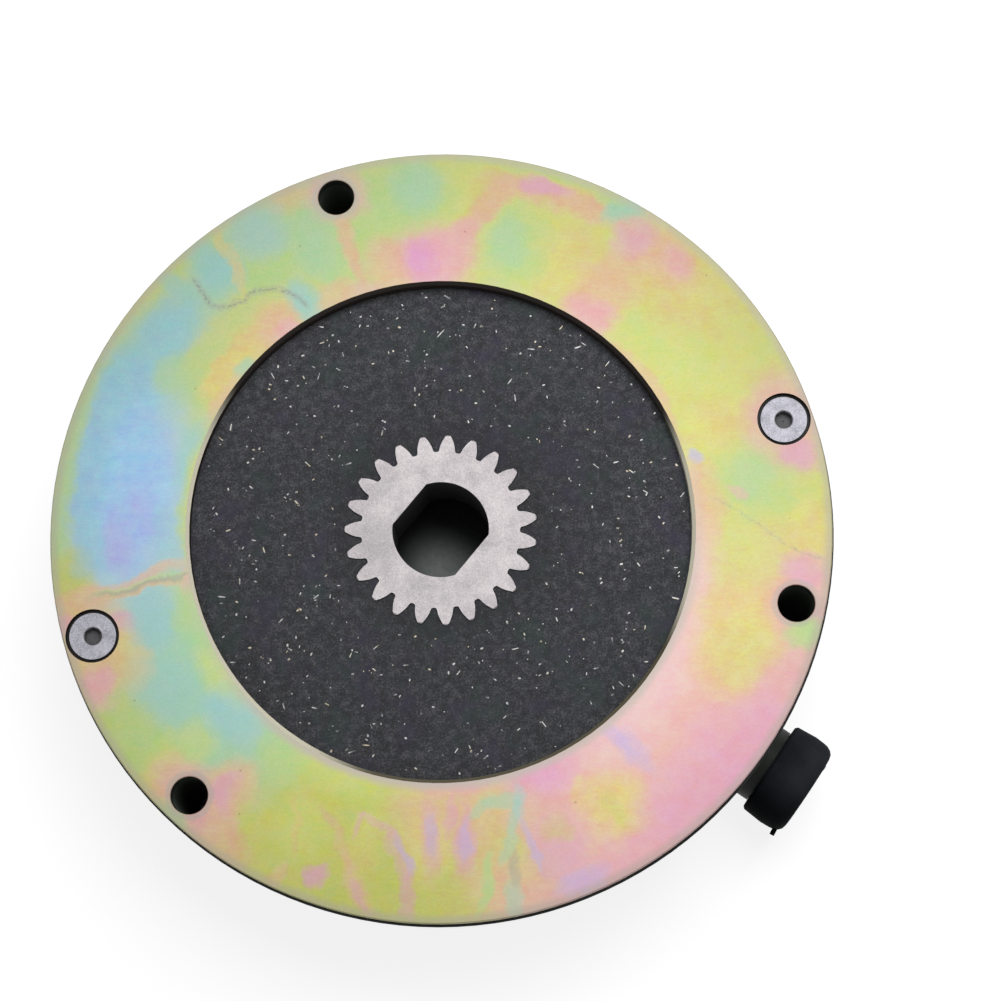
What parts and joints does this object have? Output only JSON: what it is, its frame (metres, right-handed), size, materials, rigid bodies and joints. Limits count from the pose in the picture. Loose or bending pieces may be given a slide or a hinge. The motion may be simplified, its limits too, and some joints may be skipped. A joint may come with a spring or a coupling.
{
  "type": "motor brake",
  "caption": "Round spring-applied electromagnetic brake: plated face plate over a friction disc on a toothed hub, black magnet body and a side cable inlet.",
  "frame": {"origin": "on the shaft axis, at the back face of the magnet body", "axes": "+Z along the shaft axis, out of the mounting face; +X to the right and +Y up as the picture shows the mounting face"},
  "size_m": [0.2033, 0.2024, 0.052],
  "materials": {
    "zinc_yellow": "zinc plate with rainbow yellow passivation",
    "black_paint": "satin black paint",
    "lining": "moulded friction lining with pale flecks",
    "hub_steel": "ground steel",
    "stainless": "cold-formed stainless steel",
    "plate_steel": "phosphated steel",
    "spring_steel": "oiled spring wire",
    "pin_steel": "ground and hardened steel",
    "copper": "enamelled copper wire",
    "bobbin": "moulded nylon",
    "resin": "cast resin",
    "rubber": "moulded rubber"
  },
  "bodies": {
    "housing": {"magnet_body": "black_paint", "coil_bobbin": "bobbin", "coil_winding": "copper", "coil_resin": "resin", "flange_plate": "zinc_yellow", "flange_screws": "stainless", "inlet_neck": "black_paint", "inlet_bush": "rubber", "inlet_cap": "rubber", "spring_1": "spring_steel", "spring_2": "spring_steel", "spring_3": "spring_steel", "spring_4": "spring_steel", "spring_5": "spring_steel", "spring_6": "spring_steel", "guide_pin_1": "pin_steel", "guide_pin_2": "pin_steel", "guide_pin_3": "pin_steel"},
    "armature": {"armature_plate": "plate_steel"},
    "hub": {"toothed_hub": "hub_steel"},
    "disc": {"friction_disc": "lining"}
  },
  "joints": [
    {"name": "armature_slide", "type": "slide", "parent": "housing", "child": "armature", "axis": [0, 0, 1], "range_m": [-0.0005, 0], "stiffness_N_per_m": 20000, "springref_m": 0.003, "deforming": ["spring_1", "spring_2", "spring_3", "spring_4", "spring_5", "spring_6"]},
    {"name": "hub_spin", "type": "hinge", "parent": "housing", "child": "hub", "pos_m": [0, 0, 0.0375], "axis": [0, 0, 1], "continuous": true},
    {"name": "disc_float", "type": "slide", "parent": "hub", "child": "disc", "axis": [0, 0, 1], "range_m": [-0.00025, 0]}
  ],
  "couplings": [
    {"joint": "disc_float", "follows": "armature_slide", "ratio": 0.5}
  ]
}
